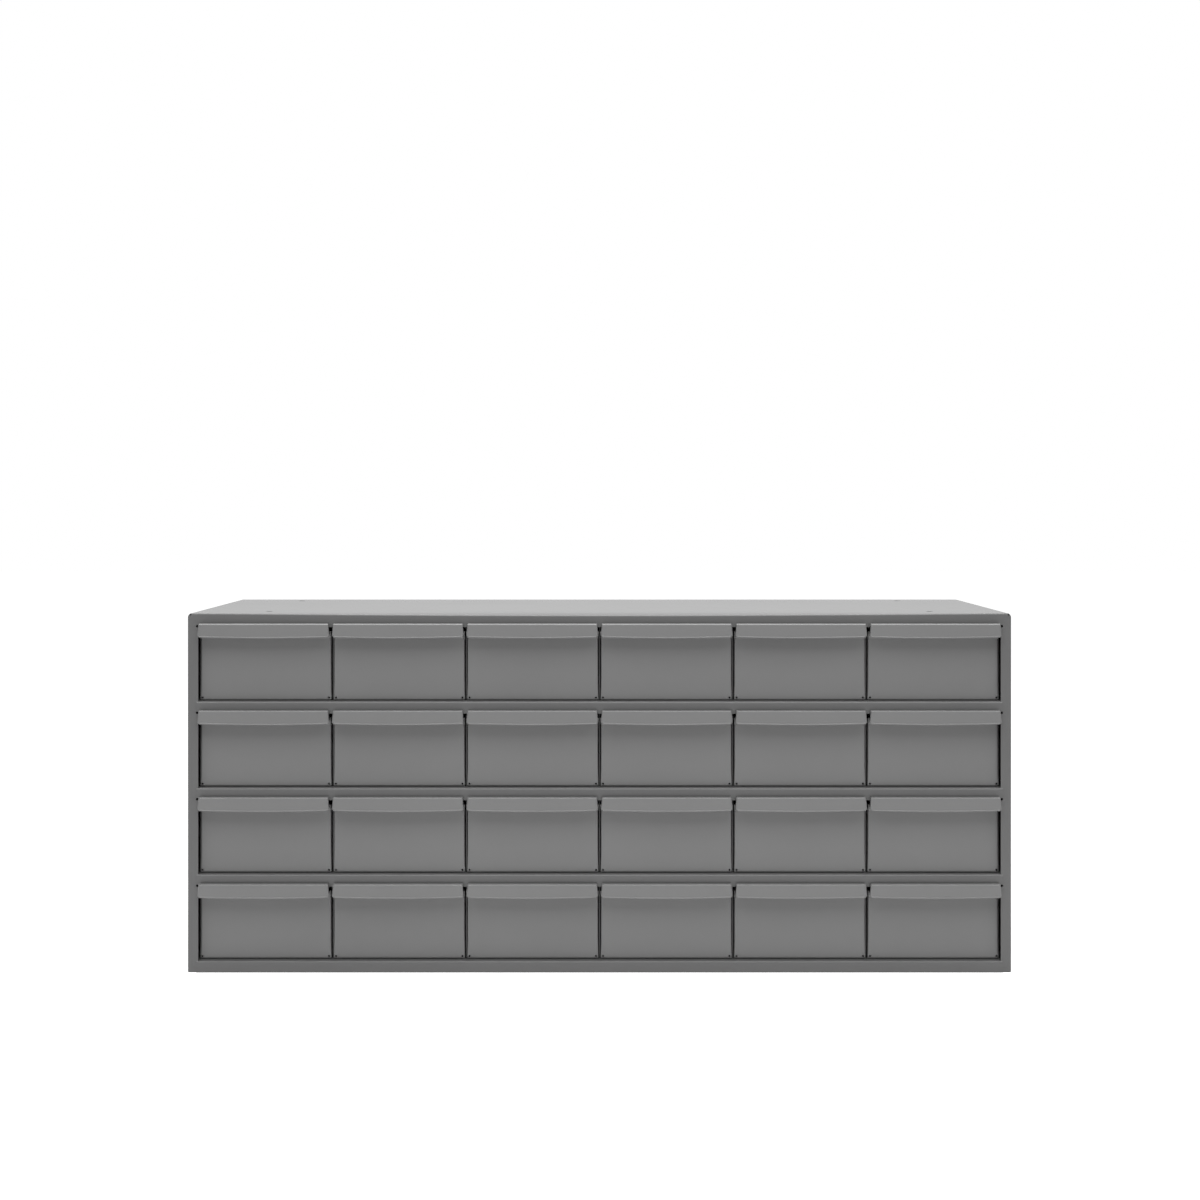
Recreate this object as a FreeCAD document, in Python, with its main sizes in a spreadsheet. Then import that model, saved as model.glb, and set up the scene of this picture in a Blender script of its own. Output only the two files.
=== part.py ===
import FreeCAD, Part
import math
import os

import Sketcher
from FreeCAD import Rotation, Vector

# Parts bin cabinet: a folded steel case with four rows of six drawers.
# X runs across the front, Y runs back into the case, Z is up. The origin is the
# middle of the rectangle that the whole cabinet covers on the bench.

ROWS = 4
COLUMNS = 6
SLITS = 9

# Every size of the cabinet in millimetres: name, value, what it measures
SIZES = [
    ("case_width", 857.25, "outside of the case, side to side"),
    ("case_depth", 298.45, "front flanges to the rear flanges, outside"),
    ("opening_height", 77.1, "clear height of each row of drawers"),
    ("base_rail", 12.2, "height of the rail under the lowest row"),
    ("shelf_rail", 12.9, "height of the rails between rows"),
    ("top_rail", 14.5, "height of the front flange of the top"),
    ("side_flange", 11.0, "width of the front flange of each side"),
    ("rear_flange", 12.0, "width of the flanges round the back"),
    ("bottom_flange", 18.0, "width of the turned-in flanges the case stands on"),
    ("case_sheet", 0.9, "thickness of the case, shelves and partitions"),
    ("case_bend", 0.7, "inside radius of the case's bends"),
    ("corner_bend", 3.6, "inside radius where the top turns into the sides"),
    ("corner_relief", 2.8, "diameter of the reliefs at the opening corners"),
    ("seam_hole", 2.2, "diameter of the relief where two front flanges meet"),
    ("seam_hole_inset", 2.8, "its centre from the side of the case"),
    ("seam_hole_drop", 1.3, "its centre below the top of the case"),
    ("rail_bend", 1.6, "inside radius where a shelf turns down into its rail"),
    ("rail_lap", 1.7, "how far each rail laps over the side flange"),
    ("weld_gap", 0.3, "gap left between sheets that are spot-welded"),
    ("slot_clearance", 0.2, "gap each side of a sheet in a slot"),
    ("partition_setback", 15.0, "front edge of a partition behind the frame"),
    ("top_hole", 7.1, "diameter of the stacking holes in the top"),
    ("hole_side_inset", 79.375, "stacking hole centres from the case's sides"),
    ("hole_end_inset", 34.925, "stacking hole centres from front and back"),
    ("drawer_gap", 3.2, "gap between the drawers of a row"),
    ("side_gap", 0.85, "gap between an end drawer and the side flange"),
    ("back_gap", 6.05, "drawer's back wall to the back panel"),
    ("wall_gap", 4.6, "opening above the drawer's walls"),
    ("drawer_sheet", 0.8, "thickness of the drawer's steel"),
    ("drawer_bend", 0.8, "inside radius of the drawer's bends"),
    ("drawer_lift", 0.3, "running gap under the drawer"),
    ("face_recess", 8.0, "drawer face behind the frame"),
    ("pull_drop", 17.0, "start of the face's curve below the top of the pull"),
    ("stop_gap", 0.6, "back of the pull in front of the rail"),
    ("lip_reach", 9.5, "front of the pull's bead ahead of the frame"),
    ("lip_inset", 1.0, "ends of the pull inside the drawer's side walls"),
    ("lip_overlap", 3.9, "pull's top edge above the opening"),
    ("lip_height", 13.5, "height of the pull's front at its ends"),
    ("lip_sag", 1.8, "how much lower the pull's middle hangs"),
    ("lip_bend", 0.8, "inside radius of the two bends over the pull"),
    ("bead_radius", 0.9, "radius of the rolled bead under the pull"),
    ("bead_inside", 0.2, "inside radius of the bead at the pull's corners"),
    ("face_relief", 1.6, "diameter of the bend reliefs in the face"),
    ("face_relief_inset", 2.4, "relief centre from the face's two edges"),
    ("ear_length", 12.0, "front to back length of a stop ear"),
    ("ear_setback", 15.3, "stop ear ahead of the drawer's back wall"),
    ("ear_catch", 6.9, "height of a stop ear above the opening"),
    ("slit_width", 1.4, "width of a divider slit"),
    ("slit_top_gap", 13.85, "top of a slit below the top of the wall"),
    ("slit_floor", 12.0, "bottom of a slit above the drawer's underside"),
    ("divider_sheet", 0.8, "thickness of a divider"),
    ("divider_drop", 10.75, "top of a divider below the top of the walls"),
    ("divider_fit", 0.3, "gap between a divider and the walls"),
    ("overrun", 5.0, "how far a cutting shape runs past what it cuts"),
]

document = FreeCAD.newDocument("parts_bin_cabinet")
sheet = document.addObject("Spreadsheet::Sheet", "dims")
for row, (alias, value, note) in enumerate(SIZES, start=1):
    sheet.set(f"A{row}", alias)
    sheet.set(f"B{row}", str(value))
    sheet.set(f"C{row}", note)
    sheet.setAlias(f"B{row}", alias)
document.recompute()

# Places that several pieces share, worked out from the sizes
case_height = (
    f"(dims.base_rail + {ROWS} * dims.opening_height"
    f" + {ROWS - 1} * dims.shelf_rail + dims.top_rail)"
)
row_pitch = "(dims.opening_height + dims.shelf_rail)"
window_half = "(dims.case_width / 2 - dims.side_flange)"
column_pitch = (
    f"((2 * ({window_half} - dims.side_gap) + dims.drawer_gap) / {COLUMNS})"
)
front_place = "((dims.lip_reach - dims.case_depth) / 2)"
shelf_back = "(dims.case_depth - 2 * dims.case_sheet - dims.weld_gap)"
partition_length = f"({shelf_back} - dims.partition_setback)"
slot_start = f"(dims.partition_setback + {partition_length} / 2)"
lip_top = "(dims.opening_height + dims.lip_overlap)"
pull_back = "(-dims.case_sheet - dims.stop_gap)"
pull_start = f"({lip_top} - dims.pull_drop)"
bead_plane = "(dims.bead_radius - dims.lip_reach)"
bead_corner = "(dims.bead_radius + dims.bead_inside)"
apron_top = f"({lip_top} - dims.lip_height + dims.bead_radius + {bead_corner})"
drawer_width = f"({column_pitch} - dims.drawer_gap)"
lip_width = f"({drawer_width} - 2 * dims.lip_inset)"
drawer_length = (
    "(dims.case_depth - 2 * dims.case_sheet - dims.back_gap - dims.face_recess)"
)
wall_top = "(dims.opening_height - dims.wall_gap)"
wall_height = f"({wall_top} - dims.drawer_lift)"
slit_height = f"({wall_height} - dims.slit_floor - dims.slit_top_gap)"
ear_start = (
    f"(dims.face_recess + {drawer_length} - dims.ear_setback - dims.ear_length)"
)


def number(formula):
    """The value of a formula in the names of the sheet."""
    return float(sheet.evalExpression(formula.replace("dims.", "")))


def bind(piece, **formulas):
    """Ties properties of a piece to formulas; x, y and z are its place."""
    for name, formula in formulas.items():
        path = f".Placement.Base.{name}" if name in ("x", "y", "z") else name
        piece.setExpression(path, formula)
    return piece


def box(name, corner, extent):
    """A plain box from its lowest corner and its three lengths."""
    piece = document.addObject("Part::Box", name)
    bind(piece, x=corner[0], y=corner[1], z=corner[2])
    return bind(piece, Length=extent[0], Width=extent[1], Height=extent[2])


def drill(name, start, diameter, depth, along):
    """A straight round cutter that starts at a point and runs along an axis."""
    piece = document.addObject("Part::Cylinder", name)
    piece.Placement.Rotation = Rotation(Vector(0, 0, 1), along)
    bind(piece, x=start[0], y=start[1], z=start[2])
    return bind(piece, Radius=f"{diameter} / 2", Height=depth)


def group(name, kind, pieces):
    """Several pieces joined (Part::MultiFuse) or kept apart (Part::Compound)."""
    piece = document.addObject(kind, name)
    if kind == "Part::MultiFuse":
        piece.Shapes = pieces
    else:
        piece.Links = pieces
    return piece


def cut(name, base, tool):
    """The base with the tool's shape taken away."""
    piece = document.addObject("Part::Cut", name)
    piece.Base = base
    piece.Tool = tool
    return piece


def straight_edge(shape, side):
    """Name of the straight edge nearest a side of the shape's box.

    side holds -1 or 1 for the two directions that fix the edge and 0 for the
    direction along which it runs.
    """
    bounds = shape.BoundBox
    half = (bounds.XLength / 2, bounds.YLength / 2, bounds.ZLength / 2)
    wanted = bounds.Center + Vector(*(s * h for s, h in zip(side, half)))
    run = Vector(*(1 if s == 0 else 0 for s in side))
    square_enough = 0.01
    nearest = None
    for index, edge in enumerate(shape.Edges, start=1):
        ends = edge.Vertexes
        if len(ends) < 2 or not isinstance(edge.Curve, Part.Line):
            continue
        direction = ends[1].Point.sub(ends[0].Point)
        if direction.normalize().cross(run).Length > square_enough:
            continue
        distance = edge.CenterOfMass.distanceToPoint(wanted)
        if nearest is None or distance < nearest[0]:
            nearest = (distance, f"Edge{index}")
    return nearest[1]


def bent_block(name, corner, extent, bends):
    """A box whose listed edges are rounded: bends holds (radius, sides)."""
    body = document.addObject("PartDesign::Body", name)
    tip = body.newObject("PartDesign::AdditiveBox", f"{name}_box")
    bind(tip, x=corner[0], y=corner[1], z=corner[2])
    bind(tip, Length=extent[0], Width=extent[1], Height=extent[2])
    document.recompute()
    for count, (radius, sides) in enumerate(bends, start=1):
        rounding = body.newObject("PartDesign::Fillet", f"{name}_bend_{count}")
        rounding.Base = (tip, [straight_edge(tip.Shape, side) for side in sides])
        bind(rounding, Radius=radius)
        document.recompute()
        tip = rounding
    return body


def own_plane(body, role):
    """The origin plane of a body that has a role such as YZ_Plane."""
    for feature in body.Origin.OriginFeatures:
        if feature.Role == role:
            return feature
    raise ValueError(f"{body.Name} has no {role}")


def outline(body, name, role, corners):
    """A closed sketch on one of the body's own planes.

    Each corner is (across, up) for a straight run to it, or (across, up,
    radius, turn) for an arc to it, where turn is 1 for counterclockwise and -1
    for clockwise. Every corner and radius is tied to its formula.
    """
    sketch = body.newObject("Sketcher::SketchObject", name)
    sketch.AttachmentSupport = [(own_plane(body, role), "")]
    sketch.MapMode = "FlatFace"
    points = [Vector(number(c[0]), number(c[1]), 0) for c in corners]
    for index, corner in enumerate(corners):
        start = points[index - 1]
        end = points[index]
        if len(corner) == 2:
            sketch.addGeometry(Part.LineSegment(start, end), False)
            continue
        radius = number(corner[2])
        chord = end.sub(start)
        rise = math.sqrt(max(radius**2 - (chord.Length / 2) ** 2, 0))
        left = Vector(-chord.y, chord.x, 0).normalize() * corner[3]
        middle = start + chord * 0.5 + left * (rise - radius)
        sketch.addGeometry(Part.Arc(start, middle, end), False)
    for index, corner in enumerate(corners):
        finish = 2 if len(corner) == 2 or corner[3] == 1 else 1
        after = corners[(index + 1) % len(corners)]
        begin = 1 if len(after) == 2 or after[3] == 1 else 2
        following = (index + 1) % len(corners)
        sketch.addConstraint(
            Sketcher.Constraint("Coincident", index, finish, following, begin)
        )
        for kind, formula in (("DistanceX", corner[0]), ("DistanceY", corner[1])):
            rule = sketch.addConstraint(
                Sketcher.Constraint(kind, -1, 1, index, finish, number(formula))
            )
            sketch.setExpression(f"Constraints[{rule}]", formula)
        if len(corner) == 4:
            rule = sketch.addConstraint(
                Sketcher.Constraint("Radius", index, number(corner[2]))
            )
            sketch.setExpression(f"Constraints[{rule}]", corner[2])
    return sketch


def pressed_strip(name, corners, width):
    """A folded strip: its side outline in the YZ plane, drawn out along X."""
    body = document.addObject("PartDesign::Body", name)
    sketch = outline(body, f"{name}_outline", "YZ_Plane", corners)
    pad = body.newObject("PartDesign::Pad", f"{name}_pad")
    pad.Profile = sketch
    pad.SideType = "Symmetric"
    bind(pad, Length=width)
    document.recompute()
    return body


def copy_of(label, source, **places):
    """The same piece again at its own place."""
    piece = document.addObject("Part::Feature", label)
    piece.Shape = source.Shape
    return bind(piece, **places)


def make_case_shell():
    """Top and sides folded from one sheet, open at the front, back and below."""
    side_ways = ((-1, -1, 0), (1, -1, 0), (-1, 1, 0), (1, 1, 0), (0, -1, 1), (0, 1, 1))
    under = ((-1, 0, -1), (1, 0, -1))
    top_corners = ((-1, 0, 1), (1, 0, 1))
    skin = "dims.case_sheet"
    outside = bent_block(
        "case_outside",
        ("-dims.case_width / 2", "0", "0"),
        ("dims.case_width", "dims.case_depth", case_height),
        [
            (f"dims.corner_bend + {skin}", top_corners),
            (f"dims.case_bend + {skin}", side_ways + under),
        ],
    )
    inside = bent_block(
        "case_inside",
        (f"{skin} - dims.case_width / 2", skin, skin),
        (
            f"dims.case_width - 2 * {skin}",
            f"dims.case_depth - 2 * {skin}",
            f"{case_height} - 2 * {skin}",
        ),
        [("dims.corner_bend", top_corners), ("dims.case_bend", side_ways + under)],
    )
    cutters = [
        inside,
        box(
            "front_window",
            (f"-{window_half}", "-dims.overrun", "-dims.overrun"),
            (
                f"2 * {window_half}",
                "2 * dims.overrun",
                f"{case_height} - dims.top_rail + dims.overrun",
            ),
        ),
        box(
            "rear_window",
            (
                "dims.rear_flange - dims.case_width / 2",
                "dims.case_depth - dims.overrun",
                "-dims.overrun",
            ),
            (
                "dims.case_width - 2 * dims.rear_flange",
                "2 * dims.overrun",
                f"{case_height} - dims.rear_flange + dims.overrun",
            ),
        ),
        box(
            "bottom_window",
            ("dims.bottom_flange - dims.case_width / 2", "-dims.overrun", "-dims.overrun"),
            (
                "dims.case_width - 2 * dims.bottom_flange",
                "dims.case_depth + 2 * dims.overrun",
                "2 * dims.overrun",
            ),
        ),
    ]
    for side in (-1, 1):
        for back in (-1, 1):
            cutters.append(
                drill(
                    "stacking_hole",
                    (
                        f"{side} * (dims.case_width / 2 - dims.hole_side_inset)",
                        "dims.case_depth / 2"
                        f" + {back} * (dims.case_depth / 2 - dims.hole_end_inset)",
                        f"{case_height} - dims.overrun",
                    ),
                    "dims.top_hole",
                    "2 * dims.overrun",
                    Vector(0, 0, 1),
                )
            )
        cutters.append(
            drill(
                "seam_hole",
                (
                    f"{side} * (dims.case_width / 2 - dims.seam_hole_inset)",
                    "-dims.overrun",
                    f"{case_height} - dims.seam_hole_drop",
                ),
                "dims.seam_hole",
                "dims.overrun + dims.case_sheet + dims.case_bend",
                Vector(0, 1, 0),
            )
        )
        for row in range(1, ROWS + 1):
            level = f"dims.base_rail + {row} * {row_pitch} - dims.shelf_rail"
            cutters.append(corner_relief("case_relief", side, level))
    shell = cut("case_shell", outside, group("case_cutters", "Part::Compound", cutters))
    return bind(shell, y=front_place)


def corner_relief(name, side, level):
    """A small round relief just outside an upper corner of a row's opening."""
    return drill(
        name,
        (
            f"{side} * ({window_half} + dims.corner_relief / 3)",
            "-dims.overrun",
            f"{level} + dims.corner_relief / 3",
        ),
        "dims.corner_relief",
        "2 * dims.overrun",
        Vector(0, 1, 0),
    )


def shelf_sheet(name, rail_height, with_slots):
    """A flat shelf whose front turns down into the rail between two rows.

    Its top is at height 0. The rail laps over the side flanges, and the sheet
    behind it is notched to pass between them.
    """
    skin = "dims.case_sheet"
    bend = f"(dims.rail_bend + {skin})"
    tongue = "dims.side_flange"
    clear = f"({skin} + dims.weld_gap)"
    rail = pressed_strip(
        f"{name}_rail",
        [
            (tongue, "0"),
            (f"{bend} - {skin}", "0"),
            (f"-{skin}", f"-{bend}", bend, 1),
            (f"-{skin}", f"-{rail_height}"),
            ("0", f"-{rail_height}"),
            ("0", f"-{bend}"),
            (f"{bend} - {skin}", f"-{skin}", "dims.rail_bend", -1),
            (tongue, f"-{skin}"),
        ],
        f"2 * ({window_half} + dims.rail_lap)",
    )
    plate = box(
        f"{name}_plate",
        (f"{clear} - dims.case_width / 2", f"{clear} + dims.rail_bend", f"-{skin}"),
        (
            f"dims.case_width - 2 * {clear}",
            f"{shelf_back} - {clear} - dims.rail_bend",
            skin,
        ),
    )
    cutters = []
    for side in (-1, 1):
        cutters.append(
            box(
                f"{name}_notch",
                (
                    f"{side} * ({window_half} - dims.weld_gap + dims.side_flange / 2)"
                    " - dims.side_flange / 2",
                    "0",
                    f"-{rail_height} - dims.overrun",
                ),
                (
                    "dims.side_flange",
                    clear,
                    f"{rail_height} + 2 * dims.overrun",
                ),
            )
        )
        if with_slots:
            cutters.append(corner_relief(f"{name}_relief", side, f"-{rail_height}"))
    if with_slots:
        for index in range(COLUMNS + 1):
            cutters.append(
                box(
                    f"{name}_slot",
                    (
                        f"{partition_place(index)} - {skin} / 2 - dims.slot_clearance",
                        slot_start,
                        f"-{skin} - dims.overrun",
                    ),
                    (
                        f"{skin} + 2 * dims.slot_clearance",
                        f"{partition_length}",
                        f"{skin} + 2 * dims.overrun",
                    ),
                )
            )
    whole = group(f"{name}_blank", "Part::MultiFuse", [rail, plate])
    tools = group(f"{name}_cutters", "Part::Compound", cutters)
    return cut(name, whole, tools)


def partition_place(index):
    """Place across the case of an upright sheet, counted from the left wall."""
    return f"({index} - {COLUMNS} / 2) * {column_pitch}"


def make_shelves():
    """Base shelf and the three shelves, each on its own level."""
    base = shelf_sheet("base_shelf", "dims.base_rail", False)
    bind(base, y=front_place, z="dims.base_rail")
    first = shelf_sheet("shelf_1", "dims.shelf_rail", True)
    level = f"dims.base_rail + {row_pitch}"
    bind(first, y=front_place, z=level)
    document.recompute()
    shelves = [base, first]
    for row in range(2, ROWS):
        level = f"dims.base_rail + {row} * {row_pitch}"
        shelves.append(copy_of(f"shelf_{row}", first, y=front_place, z=level))
    return shelves


def make_partitions():
    """Upright sheets between the columns, slotted over the shelves."""
    skin = "dims.case_sheet"
    height = f"{case_height} - dims.base_rail - {skin} - dims.weld_gap"
    blank = box(
        "partition_blank",
        (f"-{skin} / 2", "dims.partition_setback", "0"),
        (skin, partition_length, height),
    )
    slots = []
    for row in range(1, ROWS):
        slots.append(
            box(
                "partition_slot",
                (
                    f"-{skin} / 2 - dims.overrun",
                    "dims.partition_setback - dims.overrun",
                    f"{row} * {row_pitch} - {skin} - dims.slot_clearance",
                ),
                (
                    f"{skin} + 2 * dims.overrun",
                    f"{slot_start} - dims.partition_setback + dims.overrun",
                    f"{skin} + 2 * dims.slot_clearance",
                ),
            )
        )
    tools = group("partition_slots", "Part::Compound", slots)
    first = cut("partition_1", blank, tools)
    bind(first, x=partition_place(1), y=front_place, z="dims.base_rail")
    document.recompute()
    pieces = [first]
    for index in range(2, COLUMNS):
        place = {"x": partition_place(index), "y": front_place, "z": "dims.base_rail"}
        pieces.append(copy_of(f"partition_{index}", first, **place))
    ends = [
        copy_of("end_guide", first, x=partition_place(index), z="dims.base_rail")
        for index in (0, COLUMNS)
    ]
    for guide in ends:
        bind(guide, y=front_place)
    pieces.append(group("end_guides", "Part::Compound", ends))
    return pieces


def make_back_panel():
    """Flat sheet welded inside the rear flanges."""
    skin = "dims.case_sheet"
    spread = "(dims.corner_bend - dims.case_bend) * sqrt(2) / 2"
    clear = f"({skin} + dims.corner_bend - {spread} + dims.weld_gap)"
    panel = box(
        "back_panel",
        (
            f"{clear} - dims.case_width / 2",
            f"{front_place} + dims.case_depth - 2 * {skin}",
            f"{skin} + dims.weld_gap",
        ),
        (
            f"dims.case_width - 2 * {clear}",
            skin,
            f"{case_height} - {clear} - {skin} - dims.weld_gap",
        ),
    )
    return panel


def make_tray():
    """Drawer pan: four walls and a bottom with rounded folds."""
    skin = "dims.drawer_sheet"
    folds = (
        (-1, 0, -1),
        (1, 0, -1),
        (0, -1, -1),
        (0, 1, -1),
        (-1, -1, 0),
        (1, -1, 0),
        (-1, 1, 0),
        (1, 1, 0),
    )
    outside = bent_block(
        "tray_outside",
        (f"-{drawer_width} / 2", "dims.face_recess", "dims.drawer_lift"),
        (drawer_width, drawer_length, wall_height),
        [(f"dims.drawer_bend + {skin}", folds)],
    )
    inside = bent_block(
        "tray_inside",
        (
            f"{skin} - {drawer_width} / 2",
            f"dims.face_recess + {skin}",
            f"dims.drawer_lift + {skin}",
        ),
        (
            f"{drawer_width} - 2 * {skin}",
            f"{drawer_length} - 2 * {skin}",
            wall_height,
        ),
        [("dims.drawer_bend", folds)],
    )
    cutters = [
        inside,
        box(
            "face_top_cut",
            (
                f"-{drawer_width} / 2 - dims.overrun",
                "dims.face_recess - dims.overrun",
                pull_start,
            ),
            (
                f"{drawer_width} + 2 * dims.overrun",
                f"dims.overrun + dims.drawer_bend + {skin}",
                wall_height,
            ),
        ),
    ]
    for side in (-1, 1):
        cutters.append(
            drill(
                "face_relief_hole",
                (
                    f"{side} * ({drawer_width} / 2 - dims.face_relief_inset)",
                    "dims.face_recess - dims.overrun",
                    "dims.drawer_lift + dims.face_relief_inset",
                ),
                "dims.face_relief",
                f"dims.overrun + dims.drawer_bend + {skin}",
                Vector(0, 1, 0),
            )
        )
    for index in range(1, SLITS + 1):
        cutters.append(
            box(
                "divider_slit",
                (
                    f"-{drawer_width} / 2 - dims.overrun",
                    f"{slit_place(index)} - dims.slit_width / 2",
                    "dims.drawer_lift + dims.slit_floor",
                ),
                (
                    f"{drawer_width} + 2 * dims.overrun",
                    "dims.slit_width",
                    slit_height,
                ),
            )
        )
    return cut("tray", outside, group("tray_cutters", "Part::Compound", cutters))


def slit_place(index):
    """Centre of one of the evenly spaced divider slits, counted from the face."""
    return f"(dims.face_recess + {index} * {drawer_length} / ({SLITS} + 1))"


def make_pull():
    """Curved top of the face, folded over into the pull that a hand takes."""
    skin = "dims.drawer_sheet"
    back = pull_back
    front = f"({bead_plane} - {skin} / 2)"
    cove = f"((dims.face_recess - {back}) / 2)"
    shoulder = f"dims.face_recess - {cove}"
    turn = f"(dims.lip_bend + {skin})"
    start = pull_start
    return pressed_strip(
        "pull",
        [
            (f"dims.face_recess + {skin}", start),
            (shoulder, f"{start} + {cove} + {skin}", f"{cove} + {skin}", 1),
            (back, f"{start} + 2 * {cove} + {skin}", cove, -1),
            (back, f"{lip_top} - {turn}"),
            (f"{back} - {turn}", lip_top, turn, 1),
            (f"{front} + {turn}", lip_top),
            (front, f"{lip_top} - {turn}", turn, 1),
            (front, apron_top),
            (f"{front} + {skin}", apron_top),
            (f"{front} + {skin}", f"{lip_top} - {turn}"),
            (f"{front} + {turn}", f"{lip_top} - {skin}", "dims.lip_bend", -1),
            (f"{back} - {turn}", f"{lip_top} - {skin}"),
            (f"{back} - {skin}", f"{lip_top} - {turn}", "dims.lip_bend", -1),
            (f"{back} - {skin}", f"{start} + 2 * {cove} + {skin}"),
            (shoulder, f"{start} + {cove}", f"{cove} + {skin}", 1),
            ("dims.face_recess", start, cove, -1),
        ],
        lip_width,
    )


def make_apron():
    """Lower part of the pull's front: a bowed edge rolled into a round bead.

    The bow and the two corner arcs meet in tangents. With a the place of a
    corner's centre and b the sag, the two centres are (a*a + b*b) / (2*b) apart.
    """
    body = document.addObject("PartDesign::Body", "apron")
    corner = bead_corner
    across = f"({lip_width} / 2 - dims.bead_radius - {corner})"
    apart = f"(({across} * {across} + dims.lip_sag * dims.lip_sag) / (2 * dims.lip_sag))"
    touch = f"({across} * (1 + {corner} / {apart}))"
    low = f"{apron_top} - {corner} * ({apart} - dims.lip_sag) / {apart}"
    edge = f"({across} + {corner})"
    sketch = outline(
        body,
        "apron_outline",
        "XZ_Plane",
        [
            (edge, apron_top),
            (touch, low, corner, -1),
            (f"-{touch}", low, f"{apart} + {corner}", -1),
            (f"-{edge}", apron_top, corner, -1),
        ],
    )
    bind_offset(sketch, f"-{bead_plane}")
    pad = body.newObject("PartDesign::Pad", "apron_pad")
    pad.Profile = sketch
    pad.SideType = "Symmetric"
    bind(pad, Length="dims.drawer_sheet")
    document.recompute()
    section = body.newObject("Sketcher::SketchObject", "bead_section")
    section.AttachmentSupport = [(own_plane(body, "XY_Plane"), "")]
    section.MapMode = "FlatFace"
    bind_offset(section, apron_top)
    middle = Vector(number(edge), number(bead_plane), 0)
    circle = Part.Circle(middle, Vector(0, 0, 1), number("dims.bead_radius"))
    section.addGeometry(circle, False)
    for kind, size, formula in (
        ("DistanceX", middle.x, edge),
        ("DistanceY", middle.y, bead_plane),
    ):
        rule = section.addConstraint(Sketcher.Constraint(kind, -1, 1, 0, 3, size))
        section.setExpression(f"Constraints[{rule}]", formula)
    rule = section.addConstraint(Sketcher.Constraint("Radius", 0, circle.Radius))
    section.setExpression(f"Constraints[{rule}]", "dims.bead_radius")
    bead = body.newObject("PartDesign::AdditivePipe", "bead")
    bead.Profile = section
    bead.Spine = (sketch, ["Edge2", "Edge3", "Edge4"])
    document.recompute()
    return body


def bind_offset(sketch, formula):
    """Ties how far a sketch stands off its plane, along the plane's normal."""
    sketch.setExpression(".AttachmentOffset.Base.z", formula)


def make_drawer():
    """One folded drawer in its cell: the cell floor is at height 0.

    It pulls out until its stop ears come up to the rail over its opening.
    """
    skin = "dims.drawer_sheet"
    pieces = [make_tray(), make_pull(), make_apron()]
    for side in (-1, 1):
        pieces.append(
            box(
                "stop_ear",
                (
                    f"{side} * ({drawer_width} - {skin}) / 2 - {skin} / 2",
                    ear_start,
                    wall_top,
                ),
                (
                    skin,
                    "dims.ear_length",
                    f"dims.opening_height + dims.ear_catch - {wall_top}",
                ),
            )
        )
    return group("drawer", "Part::MultiFuse", pieces)


def make_divider():
    """Plate across the drawer with a tab each side in the rearmost slits."""
    skin = "dims.drawer_sheet"
    fit = "dims.divider_fit"
    wall = f"({drawer_width} / 2 - {skin} - {fit})"
    tab = f"({drawer_width} / 2 - {fit})"
    floor = f"(dims.drawer_lift + {skin} + {fit})"
    face = f"{slit_place(SLITS)} - dims.divider_sheet / 2"
    plate = box(
        "divider_plate",
        (f"-{wall}", face, floor),
        (f"2 * {wall}", "dims.divider_sheet", f"{wall_top} - dims.divider_drop - {floor}"),
    )
    tabs = box(
        "divider_tabs",
        (f"-{tab}", face, f"dims.drawer_lift + dims.slit_floor + {fit}"),
        (f"2 * {tab}", "dims.divider_sheet", f"{slit_height} - 2 * {fit}"),
    )
    return group("divider", "Part::MultiFuse", [plate, tabs])


def fill_cells():
    """The drawer and its divider again in each cell, row 1 at the top."""
    drawer = make_drawer()
    divider = make_divider()
    document.recompute()
    pieces = []
    for row in range(1, ROWS + 1):
        level = f"dims.base_rail + {ROWS - row} * {row_pitch}"
        for column in range(1, COLUMNS + 1):
            middle = f"({column} - ({COLUMNS} + 1) / 2) * {column_pitch}"
            place = {"x": middle, "y": front_place, "z": level}
            for kind, source in (("drawer", drawer), ("divider", divider)):
                pieces.append(copy_of(f"{kind}_r{row}_c{column}", source, **place))
    return pieces


def check(pieces):
    """Stops if anything failed to build or a piece has no sound solid."""
    for item in document.Objects:
        if "Invalid" in item.State or "Error" in item.State:
            raise RuntimeError(f"{item.Name} failed: {item.State}")
    for piece in pieces:
        shape = piece.Shape
        if shape.isNull() or not shape.isValid() or not shape.Solids:
            raise RuntimeError(f"{piece.Label} has no sound solid")


def save(pieces):
    """One STEP file for each piece, named by its label."""
    os.makedirs("parts", exist_ok=True)
    for piece in pieces:
        piece.Shape.exportStep(f"parts/{piece.Label}.step")
    print(f"{len(pieces)} pieces")


parts = [make_case_shell()] + make_shelves() + make_partitions()
parts += [make_back_panel()] + fill_cells()
document.recompute()
check(parts)
save(parts)
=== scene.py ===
import math

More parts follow.
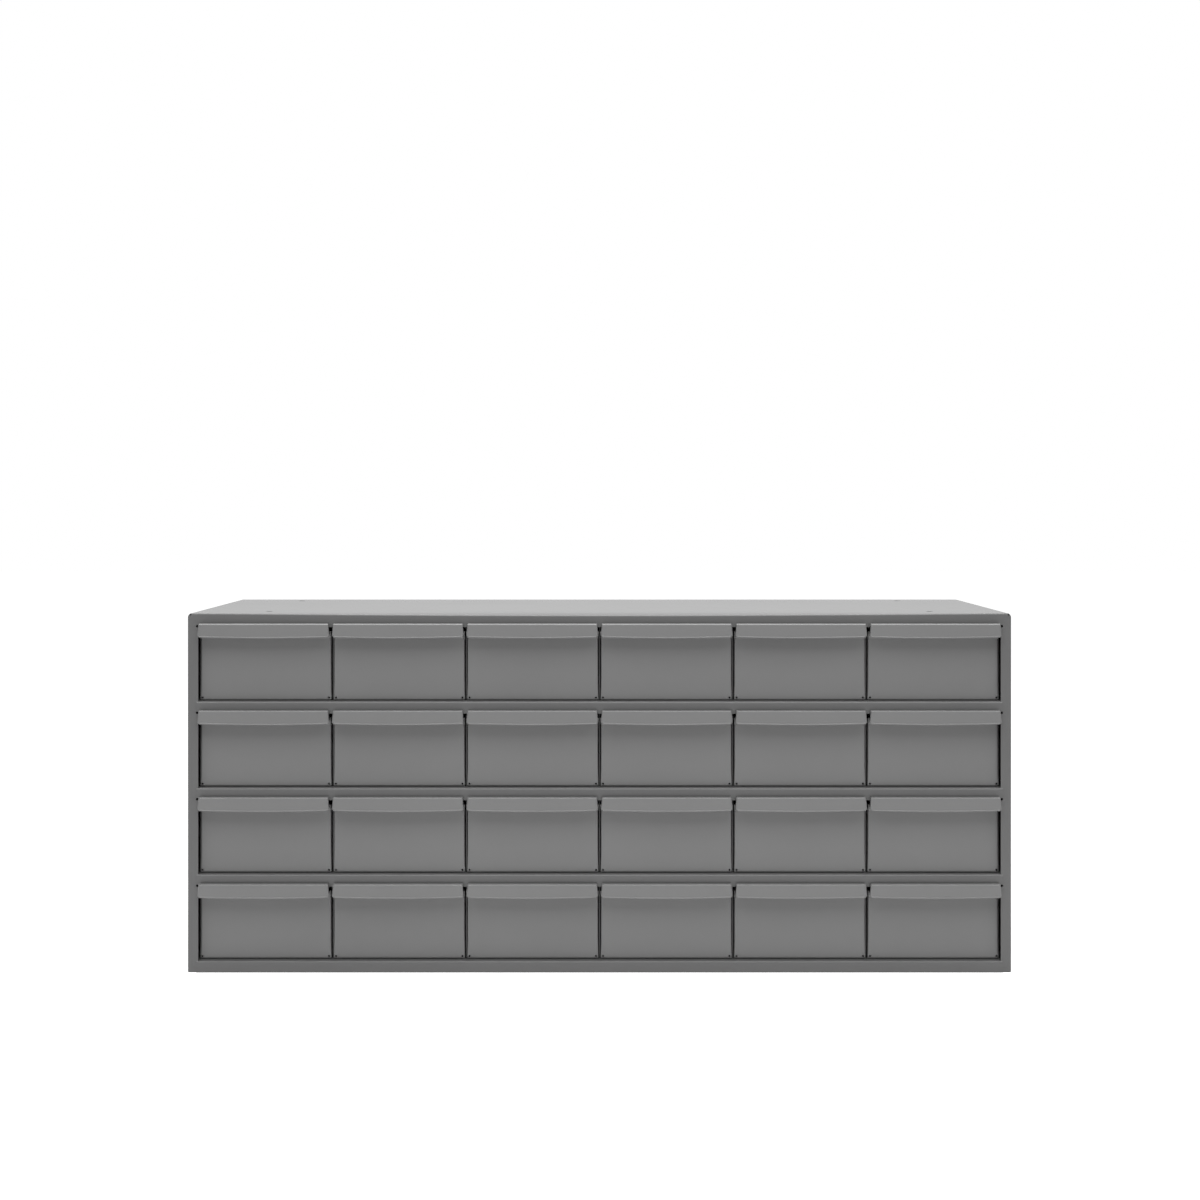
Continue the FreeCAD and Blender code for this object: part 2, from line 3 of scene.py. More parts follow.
import bmesh
import bpy
import numpy as np
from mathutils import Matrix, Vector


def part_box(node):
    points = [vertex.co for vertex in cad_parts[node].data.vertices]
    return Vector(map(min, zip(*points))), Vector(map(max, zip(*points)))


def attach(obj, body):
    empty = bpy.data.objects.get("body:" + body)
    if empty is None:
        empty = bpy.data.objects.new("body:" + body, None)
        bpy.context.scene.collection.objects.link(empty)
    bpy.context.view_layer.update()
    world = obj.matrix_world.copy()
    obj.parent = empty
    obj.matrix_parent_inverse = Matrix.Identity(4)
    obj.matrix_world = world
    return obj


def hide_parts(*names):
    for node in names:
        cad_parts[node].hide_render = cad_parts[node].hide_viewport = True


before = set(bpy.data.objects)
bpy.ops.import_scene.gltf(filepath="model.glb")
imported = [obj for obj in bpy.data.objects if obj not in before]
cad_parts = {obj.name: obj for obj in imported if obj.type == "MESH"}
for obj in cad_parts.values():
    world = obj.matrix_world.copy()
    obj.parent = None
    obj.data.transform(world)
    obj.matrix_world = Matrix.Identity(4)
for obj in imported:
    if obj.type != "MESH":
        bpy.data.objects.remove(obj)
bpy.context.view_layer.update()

MM = 0.001


# Camera
# The cabinet is seen square from the front and from a little above its top. The
# lens stays level, so its sides are upright, and the view is shifted down to it.
case_low, case_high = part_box("case_shell")
frame_plane = case_low.y
PHOTO_SIDE_PX = 1200
FOCAL_PX = 1971
HORIZON_ROW_PX = 504.7
MIDDLE_COLUMN_PX = 599.5
SENSOR_MM = 36.0
camera_distance = 2051 * MM
camera_height = 486.7 * MM

camera = bpy.data.objects.new("camera", bpy.data.cameras.new("camera"))
bpy.context.scene.collection.objects.link(camera)
camera.data.sensor_width = SENSOR_MM
camera.data.lens = FOCAL_PX / PHOTO_SIDE_PX * SENSOR_MM
camera.data.shift_x = (PHOTO_SIDE_PX / 2 - MIDDLE_COLUMN_PX) / PHOTO_SIDE_PX
camera.data.shift_y = (HORIZON_ROW_PX - PHOTO_SIDE_PX / 2) / PHOTO_SIDE_PX
camera.location = (0, frame_plane - camera_distance, camera_height)
camera.rotation_euler = (math.radians(90), 0, 0)
bpy.context.scene.camera = camera


# Baked grey enamel
# Cold-rolled steel dipped and baked in a neutral mid-grey enamel. It is semi-gloss,
# with a very fine orange peel and faint clouds where the coat is thicker.
CASE_GREY = "676767"
CASE_CLOUD = "616161"
DRAWER_GREY = "7d7d7d"
DRAWER_CLOUD = "777777"
ENAMEL_ROUGHNESS = 0.36
ENAMEL_IOR = 1.5
CLOUD_MM = 90.0
CLOUD_DETAIL = 3.0
PEEL_MM = 1.6
PEEL_DETAIL = 1.0
PEEL_DEPTH_MM = 0.1
PEEL_STRENGTH = 0.10


def linear(hex_colour):
    """The sRGB hex value as the linear colour that a shader socket takes."""
    parts = [int(hex_colour[i : i + 2], 16) / 255 for i in (0, 2, 4)]
    parts = [p / 12.92 if p <= 0.04045 else ((p + 0.055) / 1.055) ** 2.4 for p in parts]
    return (*parts, 1.0)


def add(tree, kind, inputs=None, **settings):
    """One node with its settings; inputs holds plain values or (node, output)."""
    node = tree.nodes.new(kind)
    for name, value in settings.items():
        setattr(node, name, value)
    for name, value in (inputs or {}).items():
        if isinstance(value, tuple) and isinstance(value[0], bpy.types.Node):
            tree.links.new(value[0].outputs[value[1]], node.inputs[name])
        else:
            node.inputs[name].default_value = value
    return node


def finish_of(name):
    """A new empty material, its node tree and its Principled shader."""
    material = bpy.data.materials.new(name)
    material.use_nodes = True
    tree = material.node_tree
    return material, tree, tree.nodes["Principled BSDF"]


def baked_enamel(name, grey, cloud):
    """Neutral grey enamel: faint clouds in colour, orange peel in relief."""
    material, tree, shader = finish_of(name)
    place = add(tree, "ShaderNodeTexCoord")
    clouds = add(
        tree,
        "ShaderNodeTexNoise",
        {"Vector": (place, "Object"), "Scale": 1 / (CLOUD_MM * MM), "Detail": CLOUD_DETAIL},
    )
    colour = add(
        tree,
        "ShaderNodeMix",
        {"Factor": (clouds, "Fac"), "A": linear(cloud), "B": linear(grey)},
        data_type="RGBA",
    )
    peel = add(
        tree,
        "ShaderNodeTexNoise",
        {"Vector": (place, "Object"), "Scale": 1 / (PEEL_MM * MM), "Detail": PEEL_DETAIL},
    )
    relief = add(
        tree,
        "ShaderNodeBump",
        {
            "Height": (peel, "Fac"),
            "Strength": PEEL_STRENGTH,
            "Distance": PEEL_DEPTH_MM * MM,
        },
    )
    tree.links.new(colour.outputs["Result"], shader.inputs["Base Color"])
    tree.links.new(relief.outputs["Normal"], shader.inputs["Normal"])
    shader.inputs["Roughness"].default_value = ENAMEL_ROUGHNESS
    shader.inputs["IOR"].default_value = ENAMEL_IOR
    return material


case_enamel = baked_enamel("baked_grey_enamel_case", CASE_GREY, CASE_CLOUD)
drawer_enamel = baked_enamel("baked_grey_enamel_drawers", DRAWER_GREY, DRAWER_CLOUD)


# Case, shelves and partitions
# Sheets of 0.9 mm steel, folded and spot-welded together, then enamelled as one.
# The folds are smooth to the eye and the cut edges sharp, and the front edge of the
# top has sagged a little between the sides, as a long unsupported flange does.
SHARP_DEGREES = 32
WELD_DISTANCE = 0.01 * MM
TOP_RAIL = 14.5 * MM
EDGE_SAG = 2.25 * MM
SAG_REACH = 8.0 * MM
SAG_FLATNESS = 1.3
SAG_CUTS_ACROSS = 28
SAG_CUTS_BACK = np.array([3, 6, 10, 15, 22, 32]) * MM
CORNER_START = 4.5 * MM
case_nodes = [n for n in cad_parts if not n.startswith(("drawer", "divider"))]


def welded(node):
    """A node's sheet as a mesh to work on: its loose triangles joined at their corners."""
    shape = bmesh.new()
    shape.from_mesh(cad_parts[node].data)
    bmesh.ops.remove_doubles(shape, verts=shape.verts, dist=WELD_DISTANCE)
    return shape


def sheet_from(shape, name, enamel, body):
    """A piece of folded sheet: smooth over its folds, sharp at its cut edges."""
    for polygon in shape.faces:
        polygon.smooth = True
    for edge in shape.edges:
        edge.smooth = edge.calc_face_angle(math.pi) < math.radians(SHARP_DEGREES)
    mesh = bpy.data.meshes.new(name)
    shape.to_mesh(mesh)
    shape.free()
    mesh.materials.append(enamel)
    sheet = bpy.data.objects.new(name, mesh)
    bpy.context.scene.collection.objects.link(sheet)
    even = sheet.modifiers.new("even_flats", "WEIGHTED_NORMAL")
    even.keep_sharp = True
    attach(sheet, body)
    return sheet


def cut_across(shape, place, direction):
    """Divides every face of the mesh along one plane."""
    everything = [*shape.verts, *shape.edges, *shape.faces]
    bmesh.ops.bisect_plane(shape, geom=everything, plane_co=place, plane_no=direction)


shell = welded("case_shell")
half_case = case_high.x - CORNER_START
for x in np.linspace(-half_case, half_case, SAG_CUTS_ACROSS + 1):
    cut_across(shell, (x, 0, 0), (1, 0, 0))
for y in frame_plane + SAG_CUTS_BACK:
    cut_across(shell, (0, y, 0), (0, 1, 0))
places = np.array([vertex.co for vertex in shell.verts])
# The sag is a flat bow across the front, (1 - u^2)^SAG_FLATNESS, where u runs from the
# middle to the corner. It fades back into the top, and down the flange to nothing.
bow = np.clip(1 - (places[:, 0] / half_case) ** 2, 0, None) ** SAG_FLATNESS
fade = np.exp(-(places[:, 1] - frame_plane) / SAG_REACH)
down = np.clip((places[:, 2] - case_high.z + TOP_RAIL) / TOP_RAIL, 0, 1)
places[:, 2] -= EDGE_SAG * bow * fade * down
for vertex, place in zip(shell.verts, places):
    vertex.co = place
for node in case_nodes:
    shape = shell if node == "case_shell" else welded(node)
    sheet = sheet_from(shape, f"{node}_sheet", case_enamel, "case")
    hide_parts(node)


# Dividers
# A loose plate of zinc-coated steel stands across each drawer in two slits. It is
# cut from coated sheet and left bare, so the spangle of the zinc shows.
ZINC_GREY = "b4b6b6"
ZINC_DARK = "9ea0a0"
SPANGLE_MM = 9.0
SPANGLE_ROUGHNESS = (0.34, 0.48)


def zinc_coated(name):
    """Zinc coat with a faint spangle: patches that differ a little in gloss."""
    material, tree, shader = finish_of(name)
    place = add(tree, "ShaderNodeTexCoord")
    spangle = add(
        tree,
        "ShaderNodeTexVoronoi",
        {"Vector": (place, "Object"), "Scale": 1 / (SPANGLE_MM * MM)},
    )
    colour = add(
        tree,
        "ShaderNodeMix",
        {"Factor": (spangle, "Color"), "A": linear(ZINC_DARK), "B": linear(ZINC_GREY)},
        data_type="RGBA",
    )
    gloss = add(
        tree,
        "ShaderNodeMapRange",
        {
            "Value": (spangle, "Color"),
            "To Min": SPANGLE_ROUGHNESS[0],
            "To Max": SPANGLE_ROUGHNESS[1],
        },
    )
    tree.links.new(colour.outputs["Result"], shader.inputs["Base Color"])
    tree.links.new(gloss.outputs["Result"], shader.inputs["Roughness"])
    shader.inputs["Metallic"].default_value = 1.0
    return material


zinc = zinc_coated("zinc_coated_steel")
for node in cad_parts:
    if node.startswith("divider"):
        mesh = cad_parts[node].data
        mesh.materials.clear()
        mesh.materials.append(zinc)


# Drawer pans
# Each drawer is one sheet of 0.8 mm steel: the bottom, four walls folded up from
# it, and a face that runs on forward and up into the folded pull. Places are
# from the middle of the drawer, the frame plane and the drawer's underside.
SHEET = 0.8 * MM
FOLD = 1.6 * MM
drawer_low, drawer_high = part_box("drawer_r1_c1")
half_width = (drawer_high.x - drawer_low.x) / 2
RECESS = 8.0 * MM
LENGTH = 282.6 * MM
WALL = 72.2 * MM
SLITS = 9
SLIT_PITCH = LENGTH / (SLITS + 1)
SLIT_HALF = 0.7 * MM
SLIT_FLOOR = 12.0 * MM
SLIT_TOP = 58.35 * MM
EAR_FRONT = 263.3 * MM
EAR_LENGTH = 12.0 * MM
EAR_TOP = 83.7 * MM
# Relief holes in the lower corners of the face, on the edge of the fold.
RELIEF_RADIUS = 1.1 * MM
RELIEF_INSET = 2.7 * MM
# Small bends of the thin sheet: the walls stand a little wider at the bottom front,
# the face is a little hollow, and the walls' forward corners flare beside the pull.
SPREAD = 0.8 * MM
SPREAD_TOP = 28 * MM
SPREAD_REACH = 20 * MM
HOLLOW = 0.25 * MM
WING_FLARE = 0.8 * MM
# The pull: an S-curve forward from the face, a back, a narrow top and a front apron.
PULL_START = 63.7 * MM
PULL_RISER = 0.6 * MM
PULL_HALF = 67.13 * MM
PULL_BACK = -2.3 * MM
LIP_TOP = 80.7 * MM
LIP_INSIDE = 0.8 * MM
APRON_BACK = -8.2 * MM
APRON_TOP = 68.5 * MM
APRON_LAP = 0.3 * MM
SAG = 1.1 * MM
END_CURL = 1.0 * MM
WIDER_BELOW = 0.5 * MM
NARROWER_ABOVE = 0.7 * MM
BEAD_RADIUS = 0.9 * MM
BEAD_CORNER = 1.1 * MM
# Where the sheet is divided into quads: across the front in even columns and two
# outer ones, across a relief hole, back along the walls, and up them. The two values
# for a hole are in its radii; the second holds the grid points that count as its edge.
EVEN_REACH = 60 * MM
EVEN_COLUMNS = 11
OUTER_COLUMNS = np.array([62.5, 64.3]) * MM
END_COLUMNS = 7
HOLE_LINES = np.array([-1, -1 / 3, 1 / 3, 1])
ON_HOLE_EDGE = (0.9, 1.15)
SIDE_COLUMNS = np.array([6, 14, 21]) * MM
REAR_COLUMNS = 7
FOOT_ROW = 6 * MM
WALL_ROWS = np.array([20, 34, 46]) * MM
FOLD_STEPS = 5
CORNER_STEPS = 4
COVE_STEPS = 4
PULL_STEPS = 8
LIP_STEPS = 5
APRON_ROWS = 5
BACK_ROW = 3 * MM
FRONT_ROW = 1.5 * MM

corner_place = PULL_HALF - BEAD_RADIUS - BEAD_CORNER
centres_apart = (corner_place**2 + SAG**2) / (2 * SAG)
edge_half = corner_place + BEAD_CORNER
touch = corner_place * (1 + BEAD_CORNER / centres_apart)
cove = (RECESS - PULL_BACK - SHEET) / 2
crest = PULL_START + 2 * cove + SHEET


def apron_edge(x):
    """Height of the pull's lower edge at x: a wide bow between two small arcs.

    The bow is a circle about (0, APRON_TOP + centres_apart - SAG), the ends are
    circles of BEAD_CORNER about (corner_place, APRON_TOP), and they meet in
    tangents at x = touch.
    """
    x = np.abs(x)
    bow = centres_apart - SAG - np.sqrt((centres_apart + BEAD_CORNER) ** 2 - x**2)
    end = -np.sqrt(np.clip(BEAD_CORNER**2 - (x - corner_place) ** 2, 0, None))
    return APRON_TOP + np.where(x < touch, bow, end)


def end_curl(x):
    """How far back the pull's front turns at x: a quarter circle at each end."""
    past = np.clip(np.abs(x) - PULL_HALF + END_CURL, 0, END_CURL)
    return END_CURL - np.sqrt(END_CURL**2 - past**2)


def spread_of(z):
    """How much wider the pull's front is at height z: narrower above, wider below."""
    share = (z - APRON_TOP) / (LIP_TOP - APRON_TOP)
    return WIDER_BELOW - (WIDER_BELOW + NARROWER_ABOVE) * np.clip(share, 0, 1)


def arc(middle, radius, first, last, steps):
    """Points of an arc in (y, z), angles in degrees, its first point left out."""
    angle = np.radians(np.linspace(first, last, steps + 1)[1:])
    return np.stack(
        [middle[0] + radius * np.cos(angle), middle[1] + radius * np.sin(angle)], 1
    )


def shape_from(points, faces, thickness=0.0):
    """A mesh to work on from an (n, 3) array of places and a list of faces.

    With a thickness, the faces are the outside of a sheet and get it inwards.
    """
    mesh = bpy.data.meshes.new("outside")
    mesh.from_pydata(points.tolist(), [], faces)
    shape = bmesh.new()
    shape.from_mesh(mesh)
    bmesh.ops.remove_doubles(shape, verts=shape.verts, dist=WELD_DISTANCE)
    if thickness:
        shape.to_mesh(mesh)
        shape.clear()
        outside = bpy.data.objects.new("outside", mesh)
        bpy.context.scene.collection.objects.link(outside)
        sheet = outside.modifiers.new("sheet", "SOLIDIFY")
        sheet.thickness = thickness
        sheet.offset = -1
        shape.from_object(outside, bpy.context.evaluated_depsgraph_get())
        bpy.data.objects.remove(outside)
    bpy.data.meshes.remove(mesh)
    return shape


def moved(shape, place):
    """A copy of a shape, moved to its place."""
    copy = shape.copy()
    bmesh.ops.translate(copy, vec=place, verts=copy.verts)
    return copy


def grid_faces(rows, columns, keep=True, closed=False, start=0):
    """Quads of a grid whose points run along each row; keep drops some quads."""
    lower, left = np.meshgrid(
        np.arange(rows - 1), np.arange(columns if closed else columns - 1), indexing="ij"
    )
    right = (left + 1) % columns
    quads = np.stack(
        [
            lower * columns + left,
            lower * columns + right,
            (lower + 1) * columns + right,
            (lower + 1) * columns + left,
        ],
        -1,
    )
    return (quads[np.broadcast_to(keep, lower.shape)] + start).tolist()


def front_columns():
    """Shares of the half width where the front is divided, left to right."""
    inner = np.append(np.linspace(0, EVEN_REACH, EVEN_COLUMNS), OUTER_COLUMNS)
    ends = corner_place + BEAD_CORNER * np.sin(np.radians(np.linspace(0, 90, END_COLUMNS)))
    relief = half_width - RELIEF_INSET + RELIEF_RADIUS * HOLE_LINES
    scaled = [inner / edge_half, ends / edge_half, relief / (half_width - FOLD)]
    shares = np.unique(np.round(np.concatenate(scaled), 6))
    return np.concatenate([-shares[:0:-1], shares])


def straight(x, y, facing):
    """Columns along one flat wall: their x and y, and the way they all face."""
    x, y = np.broadcast_arrays(x, y)
    return np.stack([x, y, np.full(x.shape, facing[0]), np.full(x.shape, facing[1])], 1)


def upright_fold(x, y, first):
    """Columns of a quarter circle about (x, y) from one wall to the next, ends left out."""
    turn = np.radians(first + np.linspace(0, 90, CORNER_STEPS + 1)[1:-1])
    facing = np.stack([np.cos(turn), np.sin(turn)], 1)
    return np.concatenate([(x, y) + FOLD * facing, facing], 1)


def pan_ring(shares):
    """Once round the pan, from the face's left end: x, y and facing of each column."""
    flat = half_width - FOLD
    slits = SLIT_PITCH * np.arange(1, SLITS + 1)
    ear = [EAR_FRONT - RECESS, EAR_FRONT - RECESS + EAR_LENGTH]
    side = np.unique(np.concatenate([slits - SLIT_HALF, slits + SLIT_HALF, ear, SIDE_COLUMNS]))
    side = np.concatenate([[FOLD], side, [LENGTH - FOLD]])
    return np.concatenate(
        [
            straight(shares * flat, 0.0, (0.0, -1.0)),
            upright_fold(flat, FOLD, -90),
            straight(half_width, side, (1.0, 0.0)),
            upright_fold(flat, LENGTH - FOLD, 0),
            straight(np.linspace(flat, -flat, REAR_COLUMNS), LENGTH, (0.0, 1.0)),
            upright_fold(-flat, LENGTH - FOLD, 90),
            straight(-half_width, side[::-1], (-1.0, 0.0)),
            upright_fold(-flat, FOLD, 180),
        ]
    )


def pan_rows():
    """Height of each row of the pan, and how far it stands in under the walls.

    The bottom fold is a quarter circle. The rows beside the pull follow its
    S-curve: one quarter circle below, a second one above it up to the wall's top.
    """
    fold = np.radians(np.linspace(0, 90, FOLD_STEPS + 1))
    below = np.radians(np.linspace(0, 90, COVE_STEPS + 1)[1:])
    above = math.acos((crest - WALL) / (cove + SHEET)) * np.array([1 / 3, 2 / 3])
    heights = [
        FOLD * (1 - np.cos(fold)),
        RELIEF_INSET + RELIEF_RADIUS * HOLE_LINES[1:],
        [FOOT_ROW, SLIT_FLOOR],
        WALL_ROWS,
        [SLIT_TOP, PULL_START - PULL_RISER, PULL_START],
        PULL_START + cove * np.sin(below),
        crest - (cove + SHEET) * np.cos(above),
        [WALL, EAR_TOP],
    ]
    heights = np.concatenate(heights)
    insets = np.zeros(len(heights))
    insets[: len(fold)] = FOLD * (1 - np.sin(fold))
    return heights, insets


def rounded_reliefs(x, z, is_front):
    """Moves the front's grid points on the square round each relief hole to its circle."""
    for side in (-1, 1):
        hole_x = side * (half_width - RELIEF_INSET)
        away_x, away_z = x - hole_x, z - RELIEF_INSET
        square = np.maximum(abs(away_x), abs(away_z)) / RELIEF_RADIUS
        edge = is_front & (square > ON_HOLE_EDGE[0]) & (square < ON_HOLE_EDGE[1])
        away = np.where(edge, np.hypot(away_x, away_z), RELIEF_RADIUS)
        x = hole_x + away_x * RELIEF_RADIUS / away
        z = RELIEF_INSET + away_z * RELIEF_RADIUS / away
    return x, z


def wing_edge(z):
    """Forward corner of a side wall at height z: how far out and how far back it is.

    It follows the S-curve of the pull and leans outwards in a straight line.
    """
    under = np.sqrt(np.clip(cove**2 - (z - PULL_START) ** 2, 0, None)) - cove
    over = -np.sqrt(np.clip((cove + SHEET) ** 2 - (crest - z) ** 2, 0, None)) - cove
    flare = WING_FLARE * (z - PULL_START) / (WALL - PULL_START)
    return half_width + flare, np.where(z < PULL_START + cove, under, over)


def kept_quads(ring, heights, wings):
    """Which quads of the pan are steel: not the slits, the relief holes, or above a wall."""
    middle_x, middle_y = ((ring + np.roll(ring, -1, axis=0)) / 2).T[:2]
    middle_z = ((heights[1:] + heights[:-1]) / 2)[:, None]
    from_slit = (middle_y + SLIT_PITCH / 2) % SLIT_PITCH - SLIT_PITCH / 2
    slit = (np.abs(from_slit) < SLIT_HALF) & (middle_y > SLIT_PITCH / 2)
    slit &= np.abs(ring[:, 2]) == 1
    keep = ~(slit & (middle_z > SLIT_FLOOR) & (middle_z < SLIT_TOP))
    from_ear = middle_y - EAR_FRONT + RECESS
    keep &= ((from_ear > 0) & (from_ear < EAR_LENGTH)) | (middle_z < WALL)
    forward = ring[:, 3] < 0
    face = forward | np.roll(forward, -1)
    face[wings] = False
    keep &= ~(face & (middle_z > PULL_START))
    hole = np.abs(np.abs(middle_x) - half_width + RELIEF_INSET) < RELIEF_RADIUS
    hole &= forward
    return keep & ~(hole & (np.abs(middle_z - RELIEF_INSET) < RELIEF_RADIUS))


def pan_points(shares):
    """Outside of the bottom and the walls, as places and faces.

    Rows climb from the underside, through the bottom fold and up the walls; each
    row runs once round the pan. The face is hollowed by the sine of its height
    times a parabola across, and the spread fades as a square up the walls and as
    an exponential back along them.
    """
    ring = pan_ring(shares)
    heights, insets = pan_rows()
    rows, columns = len(heights), len(ring)
    x = ring[:, 0] - insets[:, None] * ring[:, 2]
    y = ring[:, 1] - insets[:, None] * ring[:, 3]
    z = np.repeat(heights[:, None], columns, 1)
    is_front = ring[:, 3] == -1.0
    span = np.clip(1 - (x / half_width) ** 2, 0, 1)
    hollow = HOLLOW * np.sin(np.pi * np.clip(z / PULL_START, 0, 1)) * span
    y = y + np.where(is_front, hollow, 0)
    x, z = rounded_reliefs(x, z, is_front)
    low = np.clip(1 - z / SPREAD_TOP, 0, 1) ** 2 * np.exp(-y / SPREAD_REACH)
    x = x * (1 + SPREAD * low / half_width)
    right, left = np.where((np.abs(ring[:, 2]) == 1) & (ring[:, 1] == FOLD))[0]
    above = np.where((heights > PULL_START) & (heights <= WALL))[0]
    out, back = wing_edge(heights[above])
    for side, column in ((1, right - 1), (-1, left + 1)):
        x[above, column] = side * out
        y[above, column] = back
    places = np.stack([x, RECESS + y, z], -1).reshape(-1, 3)
    keep = kept_quads(ring, heights, [right - 1, left])
    faces = grid_faces(rows, columns, keep, closed=True)
    faces.append(list(range(columns - 1, -1, -1)))
    return places, faces


def pull_points(shares, start):
    """Outside of the pull, as places and faces; start is its first point's number.

    A profile from the face's top, through two arcs, up the back, over the top and
    down the front, is carried across. Its last rows reach down to the bowed edge.
    """
    middle_y = RECESS - cove
    riser = PULL_START + PULL_RISER
    bend_z = LIP_TOP - SHEET - LIP_INSIDE
    profile = np.concatenate(
        [
            [[RECESS, PULL_START], [RECESS, riser]],
            arc((middle_y, riser), cove, 0, 90, PULL_STEPS),
            arc((middle_y, riser + 2 * cove + SHEET), cove + SHEET, 270, 180, PULL_STEPS),
            [[PULL_BACK, bend_z - BACK_ROW], [PULL_BACK, bend_z]],
            arc((PULL_BACK - LIP_INSIDE, bend_z), LIP_INSIDE, 0, 90, LIP_STEPS),
            [[APRON_BACK + LIP_INSIDE, bend_z + LIP_INSIDE]],
            arc((APRON_BACK + LIP_INSIDE, bend_z), LIP_INSIDE, 90, 180, LIP_STEPS),
            [[APRON_BACK, bend_z - FRONT_ROW], [APRON_BACK, APRON_TOP + APRON_LAP]],
        ]
    )
    reach = np.full(len(profile), PULL_HALF)
    reach[0] = half_width - FOLD
    x = reach[:, None] * shares
    y = np.repeat(profile[:, :1], len(shares), 1)
    z = np.repeat(profile[:, 1:], len(shares), 1)
    edge_x = edge_half * shares
    edge_z = apron_edge(edge_x)
    drop = np.linspace(0, 1, APRON_ROWS + 1)[1:, None]
    x = np.concatenate([x, (1 - drop) * x[-1] + drop * edge_x])
    y = np.concatenate([y, np.full((APRON_ROWS, len(shares)), APRON_BACK)])
    z = np.concatenate([z, z[-1] + drop * (edge_z - z[-1])])
    ahead = np.clip((PULL_BACK - y) / (PULL_BACK - APRON_BACK), 0, 1)
    y = y + ahead * end_curl(PULL_HALF * shares)
    x = x * (1 + ahead * spread_of(z) / PULL_HALF)
    return np.stack([x, y, z], -1).reshape(-1, 3), grid_faces(*x.shape, start=start)


shares = front_columns()
pan_places, pan_faces = pan_points(shares)
pull_places, pull_faces = pull_points(shares, len(pan_places))
pan = shape_from(np.concatenate([pan_places, pull_places]), pan_faces + pull_faces, SHEET)


# Beads
# The lower edge of each pull is rolled into a small round bead, closed at its ends.
# It is the same sheet of steel under the same enamel, and stiffens the pull.
BEAD_COLUMNS = 31
BEAD_END_COLUMNS = 8
BEAD_SIDES = 12


def bead_points():
    """A circle of BEAD_RADIUS carried square to the line of the pull's lower edge."""
    end = np.radians(np.linspace(0, 90, BEAD_END_COLUMNS))
    outer = corner_place + BEAD_CORNER * np.sin(end)
    x = np.concatenate([-outer[::-1], np.linspace(-EVEN_REACH, EVEN_REACH, BEAD_COLUMNS), outer])
    line = np.stack([x, apron_edge(x)], 1)
    run = np.gradient(line, axis=0)
    run[0], run[-1] = (0, -1), (0, 1)
    run /= np.linalg.norm(run, axis=1)[:, None]
    side = np.stack([-run[:, 1], run[:, 0]], 1)
    around = 2 * np.pi * np.arange(BEAD_SIDES) / BEAD_SIDES
    across = BEAD_RADIUS * np.cos(around)
    points = np.zeros((len(line), BEAD_SIDES, 3))
    points[..., 0] = (line[:, :1] + side[:, :1] * across) * (1 + WIDER_BELOW / PULL_HALF)
    points[..., 1] = APRON_BACK - SHEET / 2 + BEAD_RADIUS * np.sin(around)
    points[..., 1] += end_curl(line[:, :1] * PULL_HALF / edge_half)
    points[..., 2] = line[:, 1:] + side[:, 1:] * across
    faces = grid_faces(len(line), BEAD_SIDES, closed=True)
    faces.append(list(range(BEAD_SIDES - 1, -1, -1)))
    faces.append([(len(line) - 1) * BEAD_SIDES + i for i in range(BEAD_SIDES)])
    return points.reshape(-1, 3), faces


bead = shape_from(*bead_points())


# Drawers in their cells
# The twenty-four drawers are alike. Each one's pan and bead ride on the drawer's own
# sliding body.
for node in sorted(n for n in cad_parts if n.startswith("drawer")):
    low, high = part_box(node)
    place = ((low.x + high.x) / 2, frame_plane, low.z)
    body = "bin" + node.removeprefix("drawer")
    steel = sheet_from(moved(pan, place), f"{node}_pan", drawer_enamel, body)
    sheet_from(moved(bead, place), f"{node}_bead", drawer_enamel, body)
    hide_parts(node)


# Floor and backdrop
# A plain white sweep of matt paper under and behind the cabinet. The camera and
# glossy surfaces see it white, and it keeps the cabinet's shadow.
FLOOR_HALF = 12.0
FLOOR_WHITE = "e6e6e6"
FLOOR_GLOW = 0.95


def seen_directly(tree):
    """1 for what the camera, a glossy surface or glass sees, 0 for other light."""
    rays = add(tree, "ShaderNodeLightPath")
    seen = (rays, "Is Camera Ray")
    for kind in ("Is Glossy Ray", "Is Transmission Ray"):
        either = add(tree, "ShaderNodeMath", {0: seen, 1: (rays, kind)}, operation="MAXIMUM")
        seen = (either, 0)
    return either


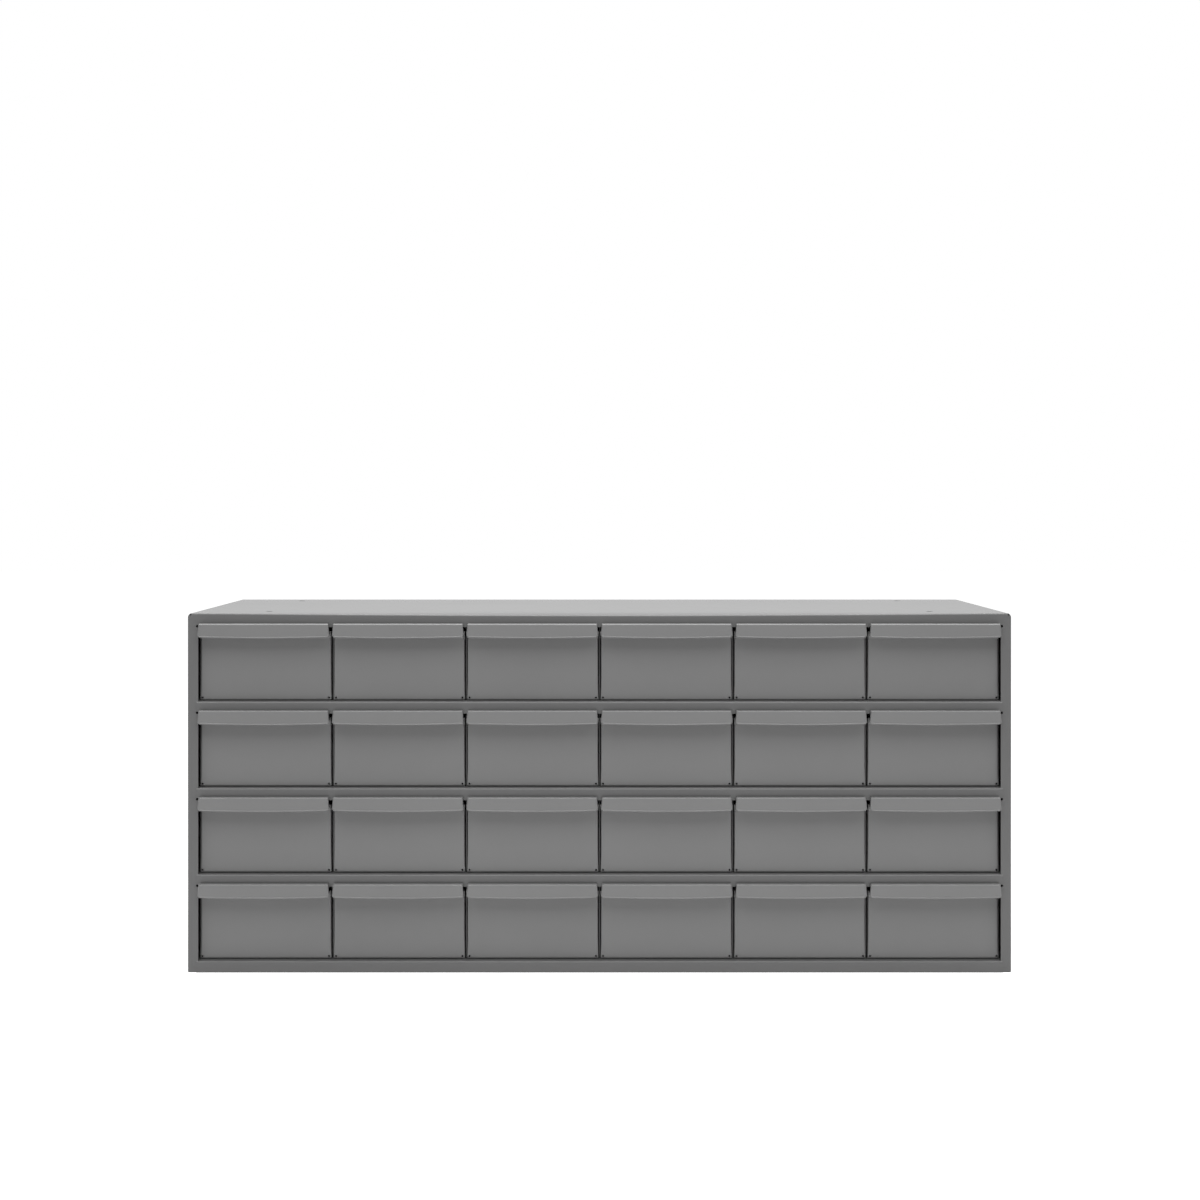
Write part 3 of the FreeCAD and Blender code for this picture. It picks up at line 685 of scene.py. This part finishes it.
floor_mesh = bpy.data.meshes.new("floor")
floor_mesh.from_pydata(
    [(x * FLOOR_HALF, y * FLOOR_HALF, 0) for x, y in ((-1, -1), (1, -1), (1, 1), (-1, 1))],
    [],
    [(0, 1, 2, 3)],
)
floor = bpy.data.objects.new("floor", floor_mesh)
bpy.context.scene.collection.objects.link(floor)
white, tree, shader = finish_of("white_sweep")
shader.inputs["Base Color"].default_value = linear(FLOOR_WHITE)
shader.inputs["Roughness"].default_value = 1.0
shader.inputs["Specular IOR Level"].default_value = 0.0
seen = seen_directly(tree)
glow = add(tree, "ShaderNodeEmission", {"Strength": FLOOR_GLOW})
both = add(tree, "ShaderNodeAddShader")
tree.links.new(shader.outputs[0], both.inputs[0])
tree.links.new(glow.outputs[0], both.inputs[1])
pick = add(tree, "ShaderNodeMixShader", {0: (seen, 0)})
tree.links.new(shader.outputs[0], pick.inputs[1])
tree.links.new(both.outputs[0], pick.inputs[2])
tree.links.new(pick.outputs[0], tree.nodes["Material Output"].inputs["Surface"])
floor_mesh.materials.append(white)


# Light
# A soft box in front and above lights the fronts, a second one over the cabinet, a
# little behind its front, lights its top, and a dim pale room fills the rest. What
# the camera or a glossy surface sees of the room is plain white.
SKY_STRENGTH = 0.18
MIDDLE_HEIGHT = 0.19
LAMPS = {
    "front_soft_box": {"ahead": 1.5, "height": 2.05, "size": (2.4, 1.4), "power": 31.5},
    "top_soft_box": {"ahead": -0.15, "height": 1.6, "size": (2.0, 1.2), "power": 31},
}
world = bpy.data.worlds.new("room")
bpy.context.scene.world = world
world.use_nodes = True
tree = world.node_tree
seen = seen_directly(tree)
level = add(
    tree, "ShaderNodeMapRange", {"Value": (seen, 0), "To Min": SKY_STRENGTH, "To Max": 1.0}
)
tree.links.new(level.outputs[0], tree.nodes["Background"].inputs["Strength"])
tree.nodes["Background"].inputs["Color"].default_value = (1, 1, 1, 1)

for name, box in LAMPS.items():
    light = bpy.data.lights.new(name, "AREA")
    light.shape = "RECTANGLE"
    light.size, light.size_y = box["size"]
    light.energy = box["power"]
    lamp = bpy.data.objects.new(name, light)
    bpy.context.scene.collection.objects.link(lamp)
    lamp.location = (0, frame_plane - box["ahead"], box["height"])
    lamp.rotation_euler = (math.atan2(box["ahead"], box["height"] - MIDDLE_HEIGHT), 0, 0)

bpy.context.scene.view_settings.view_transform = "Standard"
